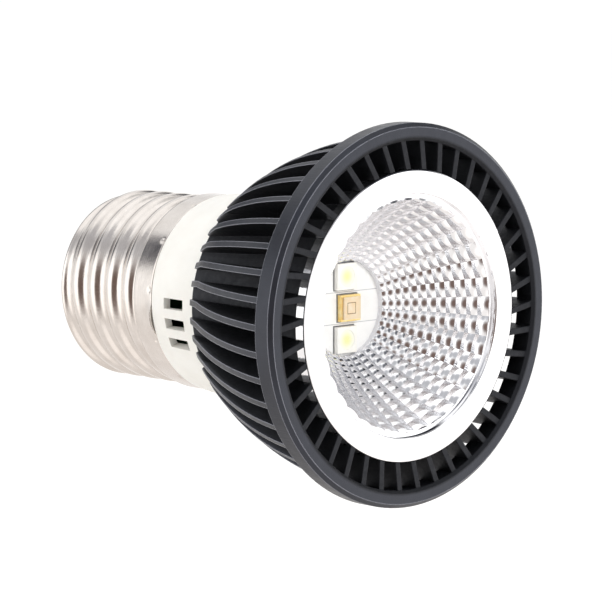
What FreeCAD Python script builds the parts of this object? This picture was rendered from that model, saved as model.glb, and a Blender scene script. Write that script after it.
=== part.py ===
import FreeCAD, Part

# Reptile lamp bulb: a screw-cap lamp with a finned heat sink, a faceted reflector and three
# light-emitting packages. The lamp's axis is X, from the tip of the cap's contact at the origin
# to the open face of the reflector. Z is up.

import math
import os
import re

import Sketcher
from FreeCAD import Placement, Rotation, Vector

doc = FreeCAD.newDocument("reptile_lamp_bulb")

# Driving sizes in millimetres and degrees
SIZES = [
    # lengths along the axis
    ("cap_length", 25.0, "contact tip to the rim of the screw shell"),
    ("neck_length", 11.1, "visible neck between that rim and the heat sink"),
    ("sink_length", 25.2, "rear ends of the fins to the front face of the ring"),
    # screw shell
    ("shell_wall", 0.3, "sheet of the screw shell"),
    ("thread_crest", 13.12, "outer radius of the thread"),
    ("thread_depth", 0.88, "depth of the thread's valleys"),
    ("thread_pitch", 3.62, "pitch of the screw thread"),
    ("thread_flat", 0.75, "width of the level crests and valleys"),
    ("thread_angle", -5.1, "place round the axis where the thread starts at the rear"),
    ("thread_runout", 0.45, "end of the thread behind the plain skirt"),
    ("thread_end", 3.0, "closed end of the hollow crest, as an angle"),
    ("skirt_step", 0.38, "skirt outside the thread's crests"),
    ("skirt_rise", 1.67, "length over which the last valley rises to the skirt"),
    ("skirt_length", 3.6, "plain skirt in front of the thread"),
    ("shell_rear", 3.6, "place of the shell's rear lip"),
    ("lip_width", 0.7, "rear lip, from its opening to its corner"),
    ("lip_corner", 1.24, "lip's corner inside the thread's valleys"),
    ("lip_corner_depth", 1.2, "length over which the lip turns into the thread"),
    ("crimp_count", 12, "punched dimples round the skirt"),
    ("crimp_angle", 178.5, "place of one dimple round the axis"),
    ("crimp_radius", 0.9, "rounding of the punch that made a dimple"),
    ("crimp_depth", 0.18, "depth of a dimple"),
    ("crimp_setback", 0.75, "dimples behind the rim"),
    # contact end
    ("contact_radius", 4.8, "contact plate"),
    ("contact_wall", 0.5, "contact plate's thickness"),
    ("contact_rear", 0.6, "rear face of the contact plate"),
    ("pin_head_radius", 2.1, "head of the contact pin"),
    ("pin_radius", 0.55, "shank of the contact pin"),
    ("pin_length", 6.6, "contact pin from its tip"),
    ("insulator_depth", 1.5, "thickness of the glass behind the lip"),
    ("fit", 0.05, "gap between pieces that are pressed or seated together"),
    # neck and driver housing
    ("neck_step", 0.1, "neck outside the shell's skirt"),
    ("neck_flare", 0.8, "how much the neck widens towards the heat sink"),
    ("rim_gap", 0.25, "open slit between the rim and the neck"),
    ("spigot_rear", 7.0, "rear end of the spigot in the screw shell"),
    ("spigot_wall", 1.25, "wall of that spigot"),
    ("spigot_clearance", 0.35, "gap between the spigot and the thread's valleys"),
    ("neck_shoulder", 0.5, "shoulder of the neck on the heat sink"),
    ("plug_wall", 1.05, "wall of the plug in the heat sink's socket"),
    ("socket_depth", 7.8, "depth of that socket"),
    ("slot_count", 3, "vent slots in a group"),
    ("slot_pitch", 11.3, "angle from slot to slot"),
    ("slot_width", 1.45, "width of a vent slot"),
    ("slot_length", 4.2, "length of a vent slot"),
    ("slot_setback", 3.8, "front ends of the slots to the heat sink"),
    ("slot_angle", 191.3, "middle slot round the axis"),
    # heat sink
    ("fin_window", 3.7, "openings between the reflector's flange and the front ring"),
    ("ring_wall", 2.3, "radial wall of the ring"),
    ("ring_depth", 3.0, "depth of the ring"),
    ("ring_outer_chamfer", 0.55, "outer front edge of the ring"),
    ("ring_inner_chamfer", 0.35, "inner front edge of the ring"),
    ("fin_count", 42, "fins round the heat sink"),
    ("fin_thickness", 0.8, "thickness of a fin"),
    ("fin_phase", 5.1, "angle of the first fin's root"),
    ("fin_root", 0.9, "how deep a fin starts inside the hub"),
    ("fin_bend", 0.9, "bend of a fin inside the hub's front edge"),
    ("fin_lean", 14.1, "angle at which a fin leans past that bend"),
    ("fin_start", 0.4, "height of a fin at its rear end"),
    ("fin_bury", 0.9, "how deep the fins run into the ring"),
    ("fin_belly_radius", 50.0, "bulge of the fins' outline"),
    ("fin_setback", 0.4, "front edges of the fins behind the ring's face"),
    ("hub_wall", 2.0, "hub round the socket"),
    ("hub_step", 0.1, "hub's front edge inside the flange"),
    ("flange_ledge", 1.6, "ledge that the flange lies on"),
    ("cup_draft", 3.2, "how much the cup widens from its floor to its mouth"),
    ("floor_wall", 3.2, "floor between the cup and the socket"),
    # reflector
    ("flange_wall", 1.5, "thickness of the flange"),
    ("flange_setback", 0.3, "flange's face behind the ring's face"),
    ("flange_band", 3.1, "width of the flange's face"),
    ("mouth_edge", 0.65, "smooth edge band between that edge and the facets"),
    ("mouth_edge_depth", 0.7, "depth of that band"),
    ("bowl_clearance", 0.198, "open bottom of the bowl round the packages' corners"),
    ("bowl_wall", 1.0, "wall of the bowl"),
    ("bowl_foot", 0.75, "foot of the bowl on the board"),
    ("facet_columns", 36, "facets round the bowl"),
    ("facet_rows", 12, "rings of facets"),
    ("facet_growth", 1.06, "how the rings widen towards the mouth"),
    # light source
    ("pad_wall", 0.2, "thermal pad"),
    ("board_wall", 1.0, "metal-core board"),
    ("board_edge", 0.4, "edge of the board outside its screws' heads"),
    ("board_clearance", 0.4, "gap between the board and the cup"),
    ("package_side", 3.5, "side of a light-emitting package"),
    ("package_gap", 0.7, "gap between packages"),
    ("white_package_height", 0.7, "height of a white package"),
    ("uvb_package_height", 0.8, "height of the middle package"),
    ("uvb_offset", 0.6, "sideways place of the middle package"),
    ("board_screw_gap", 2.4, "gap between the bowl's foot and the board screws' heads"),
    ("board_screw_radius", 1.0, "shank of a board screw"),
    ("board_screw_length", 3.6, "board screw under its head"),
    ("board_screw_head", 1.8, "head radius of a board screw"),
    ("board_screw_head_height", 1.1, "head height of a board screw"),
    ("boss_inset", 2.4, "housing screws inside the wall of the plug"),
    ("housing_screw_radius", 1.2, "shank of a housing screw"),
    ("housing_screw_length", 9.0, "housing screw under its head"),
    ("housing_screw_head", 2.1, "head radius of a housing screw"),
    ("housing_screw_head_height", 1.4, "head height of a housing screw"),
    ("boss_radius", 2.4, "screw bosses in the housing"),
    ("boss_length", 10.0, "length of the bosses"),
    ("fill_radius", 1.35, "phosphor fill of a white package"),
    ("fill_depth", 0.35, "depth of that fill"),
    ("uvb_well_side", 2.5, "well of the middle package"),
    # driver
    ("driver_wall", 1.2, "driver board"),
    ("driver_side_gap", 0.25, "gap between the driver board's corners and the spigot"),
    ("driver_rear", 9.5, "rear edge of the driver board"),
    ("driver_front_gap", 1.9, "driver board's front edge behind the floor of the socket"),
    ("driver_level", -3.0, "face of the driver board that carries the tall parts"),
    ("guide_wall", 0.9, "ribs that hold the driver board"),
    ("core_setback", 5.8, "transformer core behind the driver board's front edge"),
    ("core_length", 11.0, "transformer core along the lamp's axis"),
    ("core_width", 13.0, "transformer core's width"),
    ("core_thickness", 6.0, "transformer core's thickness"),
    ("core_level", 0.7, "transformer core's side that faces the board"),
    ("core_leg", 3.2, "middle leg of the core"),
    ("core_side_leg", 1.6, "outer legs of the core"),
    ("core_yoke", 2.2, "ends of the core that join its legs"),
    ("bobbin_wall", 0.5, "tube of the bobbin"),
    ("bobbin_flange", 3.2, "reach of the bobbin's flanges from the leg"),
    ("part_setback", 2.5, "film capacitor and rectifier from the driver board's rear edge"),
    ("bulk_setback", 1.3, "bulk capacitor from that edge"),
    ("bulk_gap", 2.4, "gap between the bulk capacitor and the transformer"),
    ("bulk_edge", 0.8, "bulk capacitor from the board's side"),
    ("can_gap", 3.2, "gap between the bulk capacitor and the film capacitor"),
    ("film_width", 4.8, "film capacitor's width"),
    ("film_height", 5.0, "film capacitor's height"),
    ("film_edge", 1.6, "film capacitor from the board's side"),
    ("output_radius", 2.5, "output capacitor"),
    ("output_height", 8.0, "output capacitor's height"),
    ("output_gap", 0.1, "output capacitor from the driver board's front edge"),
    ("resistor_length", 4.8, "fusible resistor"),
    ("resistor_radius", 1.2, "caps of that resistor"),
    ("chip_length", 4.9, "driver chip and rectifier along the lamp's axis"),
    ("chip_width", 3.9, "width of both"),
    ("chip_height", 1.5, "height of both"),
    ("resistor_gap", 0.4, "gap between that resistor and the transformer"),
    ("film_gap", 0.5, "gap between the film capacitor and that resistor"),
    ("neutral_angle", 249.0, "place of the neutral lead round the axis"),
    ("neutral_radius", 0.3, "bare neutral lead"),
    ("lead_radius", 0.55, "insulated lead"),
    ("lead_bend", 2.0, "bend radius of a lead"),
    ("neutral_inset", 2.2, "solder joint of the neutral lead from the driver board's side"),
    ("led_lead_inset", 4.2, "leads of the light board inside the wall of the plug"),
    ("led_lead_spread", 5.2, "the same leads to each side"),
]

sheet = doc.addObject("Spreadsheet::Sheet", "dims")
for row, (alias, number, meaning) in enumerate(SIZES, start=1):
    sheet.set(f"A{row}", meaning)
    sheet.set(f"B{row}", str(number))
    sheet.setAlias(f"B{row}", alias)
doc.recompute()

ALIASES = re.compile(r"\b(" + "|".join(alias for alias, _, _ in SIZES) + r")\b")

# Places along the axis, worked out from the driving sizes
RIM = "cap_length"
SINK_REAR = "(cap_length + neck_length)"
FACE = "(cap_length + neck_length + sink_length)"
SOCKET_END = f"({SINK_REAR} + socket_depth)"
CUP_FLOOR = f"({SOCKET_END} + floor_wall)"
BOARD_REAR = f"({CUP_FLOOR} + pad_wall)"
BOARD_FACE = f"({BOARD_REAR} + board_wall)"
FLANGE_FACE = f"({FACE} - flange_setback)"
FLANGE_SEAT = f"({FLANGE_FACE} - flange_wall)"
RING_REAR = f"({FACE} - ring_depth)"
SKIRT_REAR = f"({RIM} - skirt_length)"
WAVE_FOOT = "((thread_pitch - thread_flat) / 2)"
THREAD_START = f"(shell_rear + lip_corner_depth + {WAVE_FOOT})"
THREAD_END = f"({SKIRT_REAR} - thread_runout - {WAVE_FOOT})"
DRIVER_FRONT = f"({SOCKET_END} - driver_front_gap)"
CORE_REAR = f"({DRIVER_FRONT} - core_setback - core_length)"
RESISTOR_REAR = f"({CORE_REAR} - resistor_gap - resistor_length)"

# Radii of the cap and the neck, from the thread outwards
THREAD_ROOT = "(thread_crest - thread_depth)"
LIP_CORNER = f"({THREAD_ROOT} - lip_corner)"
LIP_RADIUS = f"({LIP_CORNER} - lip_width)"
SKIRT_RADIUS = "(thread_crest + skirt_step)"
SPIGOT_RADIUS = f"({THREAD_ROOT} - shell_wall - spigot_clearance)"
SPIGOT_BORE = f"({SPIGOT_RADIUS} - spigot_wall)"
NECK_REAR_RADIUS = f"({SKIRT_RADIUS} + neck_step)"
NECK_FRONT_RADIUS = f"({NECK_REAR_RADIUS} + neck_flare)"
SOCKET_RADIUS = f"({NECK_FRONT_RADIUS} - neck_shoulder)"
CAVITY_RADIUS = f"({SOCKET_RADIUS} - fit - plug_wall)"
BOSS_PLACE = f"({CAVITY_RADIUS} - boss_inset)"
LED_LEAD_PLACE = f"({CAVITY_RADIUS} - led_lead_inset)"
HUB_REAR_RADIUS = f"({SOCKET_RADIUS} + hub_wall)"
FIN_ROOT = f"({HUB_REAR_RADIUS} - fin_root)"
FIN_REAR_RADIUS = f"({HUB_REAR_RADIUS} + fin_start)"

# Radii of the front, from the light packages outwards
PACKAGE_PITCH = "(package_side + package_gap)"
PACKAGE_REACH = f"sqrt(({PACKAGE_PITCH} + package_side / 2)^2 + (package_side / 2)^2)"
HOLE_RADIUS = f"({PACKAGE_REACH} + bowl_clearance)"
BOARD_SCREW_PLACE = f"({HOLE_RADIUS} + bowl_wall + board_screw_gap + board_screw_head)"
BOARD_RADIUS = f"({BOARD_SCREW_PLACE} + board_screw_head + board_edge)"
CUP_FLOOR_RADIUS = f"({BOARD_RADIUS} + board_clearance)"
CUP_FRONT_RADIUS = f"({CUP_FLOOR_RADIUS} + cup_draft)"
FLANGE_RADIUS = f"({CUP_FRONT_RADIUS} + flange_ledge)"
MOUTH_RADIUS = f"({FLANGE_RADIUS} - flange_band)"
FACET_RADIUS = f"({MOUTH_RADIUS} - mouth_edge)"
HUB_FRONT_RADIUS = f"({FLANGE_RADIUS} - hub_step)"
FIN_BEND = f"({HUB_FRONT_RADIUS} - fin_bend)"
RING_INNER_RADIUS = f"({FLANGE_RADIUS} + fin_window)"
RING_RADIUS = f"({RING_INNER_RADIUS} + ring_wall)"
FIN_FRONT_RADIUS = f"({RING_INNER_RADIUS} + fin_bury)"

# The driver board fills the spigot's bore at its own level
DRIVER_WIDTH = f"(2 * sqrt({SPIGOT_BORE}^2 - (driver_level - driver_wall)^2) - 2 * driver_side_gap)"
BULK_RADIUS = f"(({DRIVER_WIDTH} - bulk_edge - can_gap - film_width - film_edge) / 2)"


def dims(expression):
    """The expression with each size written as a cell of the sheet."""
    return ALIASES.sub(r"dims.\1", str(expression))


def size(expression):
    """The expression's value in millimetres or degrees."""
    return float(sheet.evalExpression(dims(expression)))


def bind(thing, path, expression):
    thing.setExpression(path, dims(expression))


def new_body(name):
    body = doc.addObject("PartDesign::Body", name)
    body.Label = name
    return body


def origin_feature(body, role):
    return next(feature for feature in body.Origin.OriginFeatures if feature.Role == role)


def new_sketch(body, name, plane="XY_Plane", offset=None, turn=None, about=Vector(0, 0, 1)):
    """A sketch on one of the body's origin planes, moved along its normal or turned about an axis."""
    sketch = body.newObject("Sketcher::SketchObject", name)
    sketch.AttachmentSupport = [(origin_feature(body, plane), "")]
    sketch.MapMode = "FlatFace"
    if turn is not None:
        sketch.AttachmentOffset = Placement(Vector(), Rotation(about, 1.0))
        bind(sketch, "AttachmentOffset.Rotation.Angle", turn)
    if offset is not None:
        bind(sketch, "AttachmentOffset.Base.z", offset)
    return sketch


def pin_point(sketch, edge, end, point):
    """Holds one end of an edge at a place given by two expressions."""
    for kind, expression in zip(("DistanceX", "DistanceY"), point):
        number = sketch.addConstraint(Sketcher.Constraint(kind, edge, end, size(expression)))
        bind(sketch, f"Constraints[{number}]", expression)


def draw_outline(sketch, points):
    """A closed outline. A point is (across, up), or (across, up, bulge) where the edge to the next
    point is an arc of that radius: left of its chord if positive, right of it if negative."""
    places = [Vector(size(p[0]), size(p[1]), 0) for p in points]
    edges = []
    for i, start in enumerate(places):
        end = places[(i + 1) % len(places)]
        if len(points[i]) == 3:
            edges.append(sketch.addGeometry(arc_edge(start, end, size(points[i][2]))))
        else:
            edges.append(sketch.addGeometry(Part.LineSegment(start, end)))
    ends = [ends_of_edge(sketch, edge, start) for edge, start in zip(edges, places)]
    for i, edge in enumerate(edges):
        after = (i + 1) % len(edges)
        meeting = Sketcher.Constraint("Coincident", edge, ends[i][1], edges[after], ends[after][0])
        sketch.addConstraint(meeting)
        pin_point(sketch, edge, ends[i][0], points[i][:2])
        if len(points[i]) == 3:
            bulge = size(points[i][2])
            number = sketch.addConstraint(Sketcher.Constraint("Radius", edge, abs(bulge)))
            bind(sketch, f"Constraints[{number}]", points[i][2] if bulge > 0 else f"-({points[i][2]})")


def arc_edge(start, end, bulge):
    """The short arc from start to end, left of its chord if bulge is positive, else right of it."""
    chord = end - start
    half = chord.Length / 2
    radius = max(abs(bulge), half)
    side = 1 if bulge > 0 else -1
    left = Vector(-chord.y, chord.x, 0).normalize() * side
    sagitta = radius - math.sqrt(radius**2 - half**2)
    return Part.Arc(start, (start + end) * 0.5 + left * sagitta, end)


def ends_of_edge(sketch, edge, start):
    """The numbers of the edge's two ends, the one at start first."""
    at_first = (sketch.getPoint(edge, 1) - start).Length < 1e-6
    return (1, 2) if at_first else (2, 1)


def draw_circle(sketch, across, up, radius):
    centre = Vector(size(across), size(up), 0)
    number = sketch.addGeometry(Part.Circle(centre, Vector(0, 0, 1), size(radius)))
    pin_point(sketch, number, 3, (across, up))
    constraint = sketch.addConstraint(Sketcher.Constraint("Radius", number, size(radius)))
    bind(sketch, f"Constraints[{constraint}]", radius)


def turned(body, name, points, kind="Revolution"):
    """A full turn about the lamp's axis of an outline in the XY plane: (place along the axis, radius)."""
    sketch = new_sketch(body, f"{name}_outline")
    draw_outline(sketch, points)
    doc.recompute()
    feature = body.newObject(f"PartDesign::{kind}", name)
    feature.Profile = sketch
    feature.ReferenceAxis = (sketch, ["H_Axis"])
    feature.Angle = 360
    return feature


def grooved(body, name, points):
    """The same turn, cut away. It has to take material off."""
    doc.recompute()
    before = body.Shape.Volume
    feature = turned(body, name, points, "Groove")
    doc.recompute()
    assert body.Shape.Volume < before - 1e-3, f"{name} cuts nothing"
    return feature


def padded(body, name, sketch, length):
    """The sketch carried along its normal."""
    doc.recompute()
    feature = body.newObject("PartDesign::Pad", name)
    feature.Profile = sketch
    bind(feature, "Length", length)
    return feature


def pocketed(body, name, sketch, length):
    """The sketch cut along its normal, towards +X for a sketch across the axis."""
    doc.recompute()
    before = body.Shape.Volume
    feature = body.newObject("PartDesign::Pocket", name)
    feature.Profile = sketch
    feature.Reversed = True
    bind(feature, "Length", length)
    doc.recompute()
    assert body.Shape.Volume < before - 1e-3, f"{name} cuts nothing"
    return feature


def round_hole(body, name, start, across, up, radius, depth):
    """A round hole along +X from start."""
    sketch = new_sketch(body, f"{name}_outline", "YZ_Plane", start)
    draw_circle(sketch, across, up, radius)
    return pocketed(body, name, sketch, depth)


def patterned(body, name, feature, count):
    """Copies of a feature evenly round the lamp's axis."""
    doc.recompute()
    pattern = body.newObject("PartDesign::PolarPattern", name)
    pattern.Originals = [feature]
    pattern.Axis = (origin_feature(body, "X_Axis"), [""])
    pattern.Angle = 360
    bind(pattern, "Occurrences", count)
    body.Tip = pattern
    doc.recompute()
    return pattern


def shape_feature(name, shape):
    feature = doc.addObject("Part::Feature", name)
    feature.Label = name
    feature.Shape = shape
    return feature


def around(radius, degrees, x=0.0):
    """A point at a radius and an angle about the axis, measured from +Y towards +Z."""
    return Vector(x, radius * math.cos(math.radians(degrees)), radius * math.sin(math.radians(degrees)))


def contact_end():
    """The end of the cap: a brass plate in black glass, and the pin that holds the live lead."""
    plate = new_body("centre_contact")
    turned(plate, "plate", [
        ("contact_rear", "pin_radius + fit"), ("contact_rear", "contact_radius - 1.2", 2),
        ("contact_rear + 1.1", "contact_radius"),
        ("contact_rear + 1.1 + contact_wall", "contact_radius"),
        ("contact_rear + contact_wall", "contact_radius - 1.4"),
        ("contact_rear + contact_wall", "pin_radius + fit"),
    ])

    pin = new_body("contact_pin")
    turned(pin, "nail", [
        (0, 0, 4), ("contact_rear", "pin_head_radius"), ("contact_rear", "pin_radius"),
        ("pin_length", "pin_radius"), ("pin_length", 0),
    ])

    glass = new_body("cap_insulator")
    turned(glass, "cone", [
        ("contact_rear + contact_wall + fit", "pin_radius + fit"),
        ("contact_rear + contact_wall + fit", "contact_radius - 1.43"),
        ("contact_rear + contact_wall + 1.15", "contact_radius"),
        ("contact_rear + contact_wall + 1.15", "contact_radius + 0.9"),
        ("shell_rear + 0.1", f"{LIP_RADIUS} - fit"),
        ("shell_rear + shell_wall + fit", f"{LIP_RADIUS} - fit"),
        ("shell_rear + shell_wall + fit", f"{LIP_CORNER} - 0.25"),
        ("shell_rear + shell_wall + fit + insulator_depth", f"{LIP_CORNER} - 0.25"),
        ("shell_rear + shell_wall + fit + insulator_depth", "pin_radius + fit"),
    ])


def thread_wave(body, name, lower_by, end_wall, cuts):
    """One hollow crest wound round the shell, or the groove inside it, which is closed at both ends."""
    start_angle = f"thread_angle + {end_wall}"
    sketch = new_sketch(body, f"{name}_outline", turn=start_angle, about=Vector(1, 0, 0))
    middle = f"({THREAD_START} + thread_pitch * ({end_wall}) / 360)"
    top = "thread_flat / 2"
    valley, crest = f"{THREAD_ROOT} - {lower_by}", f"thread_crest - {lower_by}"
    draw_outline(sketch, [
        (f"{middle} - {WAVE_FOOT}", f"{valley} - shell_wall / 2"),
        (f"{middle} - {WAVE_FOOT}", valley),
        (f"{middle} - {top}", crest),
        (f"{middle} + {top}", crest),
        (f"{middle} + {WAVE_FOOT}", valley),
        (f"{middle} + {WAVE_FOOT}", f"{valley} - shell_wall / 2"),
    ])
    doc.recompute()
    before = body.Shape.Volume
    kind = "SubtractiveHelix" if cuts else "AdditiveHelix"
    wave = body.newObject(f"PartDesign::{kind}", name)
    wave.Profile = sketch
    wave.ReferenceAxis = (origin_feature(body, "X_Axis"), [""])
    wave.Mode = 0
    bind(wave, "Pitch", "thread_pitch")
    ends = f"thread_pitch * 2 * ({end_wall}) / 360"
    bind(wave, "Height", f"{THREAD_END} - {THREAD_START} - {ends}")
    doc.recompute()
    change = body.Shape.Volume - before
    assert (change < -1 if cuts else change > 1), f"{name} changes nothing"


def screw_shell():
    """Nickel-plated sheet: rear lip, right-hand thread and plain skirt, dimpled into the neck."""
    valley_end = f"({SKIRT_REAR} - skirt_rise)"
    shell = new_body("screw_shell")
    turned(shell, "drawn_sheet", [
        ("shell_rear", LIP_RADIUS),
        ("shell_rear", LIP_CORNER),
        ("shell_rear + lip_corner_depth", THREAD_ROOT),
        (valley_end, THREAD_ROOT),
        (SKIRT_REAR, SKIRT_RADIUS),
        (RIM, SKIRT_RADIUS),
        (RIM, f"{SKIRT_RADIUS} - shell_wall"),
        (SKIRT_REAR, f"{SKIRT_RADIUS} - shell_wall"),
        (valley_end, f"{THREAD_ROOT} - shell_wall"),
        ("shell_rear + lip_corner_depth", f"{THREAD_ROOT} - shell_wall"),
        ("shell_rear + shell_wall", f"{LIP_CORNER} - shell_wall / 2"),
        ("shell_rear + shell_wall", LIP_RADIUS),
    ])
    thread_wave(shell, "thread_crest_wave", "0", "0", False)
    thread_wave(shell, "thread_inside", "shell_wall", "thread_end", True)

    dimple = shell.newObject("PartDesign::SubtractiveSphere", "crimp")
    bind(dimple, "Radius", "crimp_radius")
    reach = f"({SKIRT_RADIUS} + crimp_radius - crimp_depth)"
    bind(dimple, "Placement.Base.x", f"{RIM} - crimp_setback")
    bind(dimple, "Placement.Base.y", f"{reach} * cos(crimp_angle * 1deg)")
    bind(dimple, "Placement.Base.z", f"{reach} * sin(crimp_angle * 1deg)")
    patterned(shell, "crimps", dimple, "crimp_count")


def driver_housing():
    """White moulded plastic: a spigot for the screw shell, the visible neck with its vents, and the
    plug that sits in the heat sink. It is open at both ends, with two screw bosses and ribs that
    hold the driver board."""
    housing = new_body("driver_housing")
    turned(housing, "outside", [
        ("spigot_rear", 0),
        ("spigot_rear", f"{SPIGOT_RADIUS} - 0.3"),
        ("spigot_rear + 0.3", SPIGOT_RADIUS),
        (f"{SKIRT_REAR} - 0.8", SPIGOT_RADIUS),
        (f"{SKIRT_REAR} + 0.8", f"{SKIRT_RADIUS} - shell_wall - fit"),
        (f"{RIM} + rim_gap", f"{SKIRT_RADIUS} - shell_wall - fit"),
        (f"{RIM} + rim_gap", NECK_REAR_RADIUS, 90),
        (f"{SINK_REAR} - fit", NECK_FRONT_RADIUS),
        (f"{SINK_REAR} - fit", f"{SOCKET_RADIUS} - fit"),
        (f"{SOCKET_END} - fit", f"{SOCKET_RADIUS} - fit"),
        (f"{SOCKET_END} - fit", 0),
    ])
    grooved(housing, "rear_cavity", [
        ("spigot_rear - 1", 0),
        ("spigot_rear - 1", SPIGOT_BORE),
        (f"{RIM} - 0.5", SPIGOT_BORE),
        (f"{RIM} - 0.5", 0),
    ])
    grooved(housing, "front_cavity", [
        (f"{RIM} - 0.6", 0),
        (f"{RIM} - 0.6", f"{CAVITY_RADIUS} - 1.2"),
        (f"{RIM} + 0.6", CAVITY_RADIUS),
        (f"{SOCKET_END} + 1", CAVITY_RADIUS),
        (f"{SOCKET_END} + 1", 0),
    ])

    for side in (1, -1):
        boss_rear = f"{SOCKET_END} - fit - boss_length"
        boss = new_sketch(housing, f"boss_outline_{side + 1}", "YZ_Plane", boss_rear)
        draw_circle(boss, 0, f"{side} * {BOSS_PLACE}", "boss_radius")
        padded(housing, f"boss_{side + 1}", boss, "boss_length")
        for above, into_wall in ((True, "0.15"), (False, "-0.2")):
            near = "driver_level + fit" if above else "driver_level - driver_wall - fit"
            far = f"{near} + guide_wall" if above else f"{near} - guide_wall"
            name = f"rib_{side + 1}_{int(above)}"
            rib = new_sketch(housing, f"{name}_outline", "YZ_Plane", f"{RIM} + 1.5")
            edge = f"{side} * ({DRIVER_WIDTH} / 2 - 0.8)"
            wall = f"{side} * ({CAVITY_RADIUS} + {into_wall})"
            draw_outline(rib, [(near, edge), (near, wall), (far, wall), (far, edge)])
            padded(housing, name, rib, f"{SOCKET_END} - {RIM} - 5")
    for side in (1, -1):
        round_hole(housing, f"pilot_{side + 1}", f"{SOCKET_END} - housing_screw_length + 1.2",
                   0, f"{side} * {BOSS_PLACE}", "housing_screw_radius + fit",
                   "housing_screw_length")

    groove = new_sketch(housing, "wire_groove_outline", "YZ_Plane", "spigot_rear - 1")
    y = f"({SPIGOT_RADIUS} + 0.2) * cos(neutral_angle * 1deg)"
    z = f"({SPIGOT_RADIUS} + 0.2) * sin(neutral_angle * 1deg)"
    draw_circle(groove, y, z, "neutral_radius + 0.25")
    pocketed(housing, "wire_groove", groove, "5.2")

    for group in (0, 180):
        for slot in range(int(size("slot_count"))):
            place = slot - (size("slot_count") - 1) / 2
            angle = f"slot_angle + {group} + {place} * slot_pitch"
            name = f"slot_{group}_{slot}"
            outline = new_sketch(housing, f"{name}_outline", turn=angle, about=Vector(1, 0, 0))
            front = f"({SINK_REAR} - slot_setback)"
            inside, outside = f"{CAVITY_RADIUS} - 1", f"{NECK_FRONT_RADIUS} + 1"
            draw_outline(outline, [
                (f"{front} - slot_length", inside), (f"{front} - slot_length", outside),
                (front, outside), (front, inside),
            ])
            doc.recompute()
            before = housing.Shape.Volume
            vent = housing.newObject("PartDesign::Pocket", name)
            vent.Profile = outline
            vent.Midplane = True
            bind(vent, "Length", "slot_width")
            doc.recompute()
            assert housing.Shape.Volume < before - 1e-3, f"{name} cuts nothing"


def heat_sink():
    """One black aluminium die casting: a cup, thin leaning fins and the ring that joins their ends."""
    sink = new_body("heat_sink")
    turned(sink, "hub", [
        (SINK_REAR, 0),
        (SINK_REAR, HUB_REAR_RADIUS),
        (FLANGE_SEAT, HUB_FRONT_RADIUS),
        (FLANGE_SEAT, 0),
    ])
    outline = new_sketch(sink, "fin_outline", "YZ_Plane", SINK_REAR, turn="fin_phase")
    half = "fin_thickness / 2"
    reach = f"({RING_RADIUS} + 1 - {FIN_BEND})"
    along = "cos(fin_lean * 1deg)"
    aside = "sin(fin_lean * 1deg)"
    turn_in = "fin_thickness / 2 * tan(fin_lean / 2 * 1deg)"
    end_out, end_up = f"{FIN_BEND} + {reach} * {along}", f"{reach} * {aside}"
    draw_outline(outline, [
        (FIN_ROOT, f"-{half}"),
        (f"{FIN_BEND} + {turn_in}", f"-{half}"),
        (f"{end_out} + {half} * {aside}", f"{end_up} - {half} * {along}"),
        (f"{end_out} - {half} * {aside}", f"{end_up} + {half} * {along}"),
        (f"{FIN_BEND} - {turn_in}", half),
        (FIN_ROOT, half),
    ])
    fin = padded(sink, "fin", outline, "sink_length - fin_setback")
    patterned(sink, "fins", fin, "fin_count")
    grooved(sink, "fin_tips", [
        (SINK_REAR, FIN_REAR_RADIUS, "fin_belly_radius"),
        (RING_REAR, FIN_FRONT_RADIUS),
        (f"{FACE} + 1", FIN_FRONT_RADIUS),
        (f"{FACE} + 1", f"{RING_RADIUS} + 5"),
        (f"{SINK_REAR} - 1", f"{RING_RADIUS} + 5"),
        (f"{SINK_REAR} - 1", FIN_REAR_RADIUS),
    ])
    turned(sink, "ring", [
        (RING_REAR, RING_INNER_RADIUS),
        (RING_REAR, f"{RING_RADIUS} - 0.2"),
        (f"{RING_REAR} + 0.2", RING_RADIUS),
        (f"{FACE} - ring_outer_chamfer", RING_RADIUS),
        (FACE, f"{RING_RADIUS} - ring_outer_chamfer"),
        (FACE, f"{RING_INNER_RADIUS} + ring_inner_chamfer"),
        (f"{FACE} - ring_inner_chamfer", RING_INNER_RADIUS),
    ])
    grooved(sink, "cup", [
        (CUP_FLOOR, 0),
        (CUP_FLOOR, CUP_FLOOR_RADIUS),
        (FLANGE_SEAT, CUP_FRONT_RADIUS),
        (FLANGE_SEAT, f"{FLANGE_RADIUS} + fit"),
        (f"{FACE} + 1", f"{FLANGE_RADIUS} + fit"),
        (f"{FACE} + 1", 0),
    ])
    grooved(sink, "socket", [
        (f"{SINK_REAR} - 1", 0),
        (f"{SINK_REAR} - 1", SOCKET_RADIUS),
        (SOCKET_END, SOCKET_RADIUS),
        (SOCKET_END, 0),
    ])
    for side in (1, -1):
        place = f"{side} * {BOSS_PLACE}"
        head_seat = f"{CUP_FLOOR} - housing_screw_head_height - fit"
        round_hole(sink, f"screw_way_{side + 1}", f"{SOCKET_END} - 1",
                   0, place, "housing_screw_radius + fit", "floor_wall + 2")
        round_hole(sink, f"screw_seat_{side + 1}", head_seat,
                   0, place, "housing_screw_head + 0.1", "housing_screw_head_height + 1")
        round_hole(sink, f"board_thread_{side + 1}", f"{BOARD_FACE} - board_screw_length - 0.2",
                   f"{side} * {BOARD_SCREW_PLACE}", 0, "board_screw_radius + fit",
                   "board_screw_length")
        round_hole(sink, f"lead_way_{side + 1}", f"{SOCKET_END} - 1", LED_LEAD_PLACE,
                   f"{side} * led_lead_spread", "lead_radius + 0.35", "floor_wall + 2")


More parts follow.
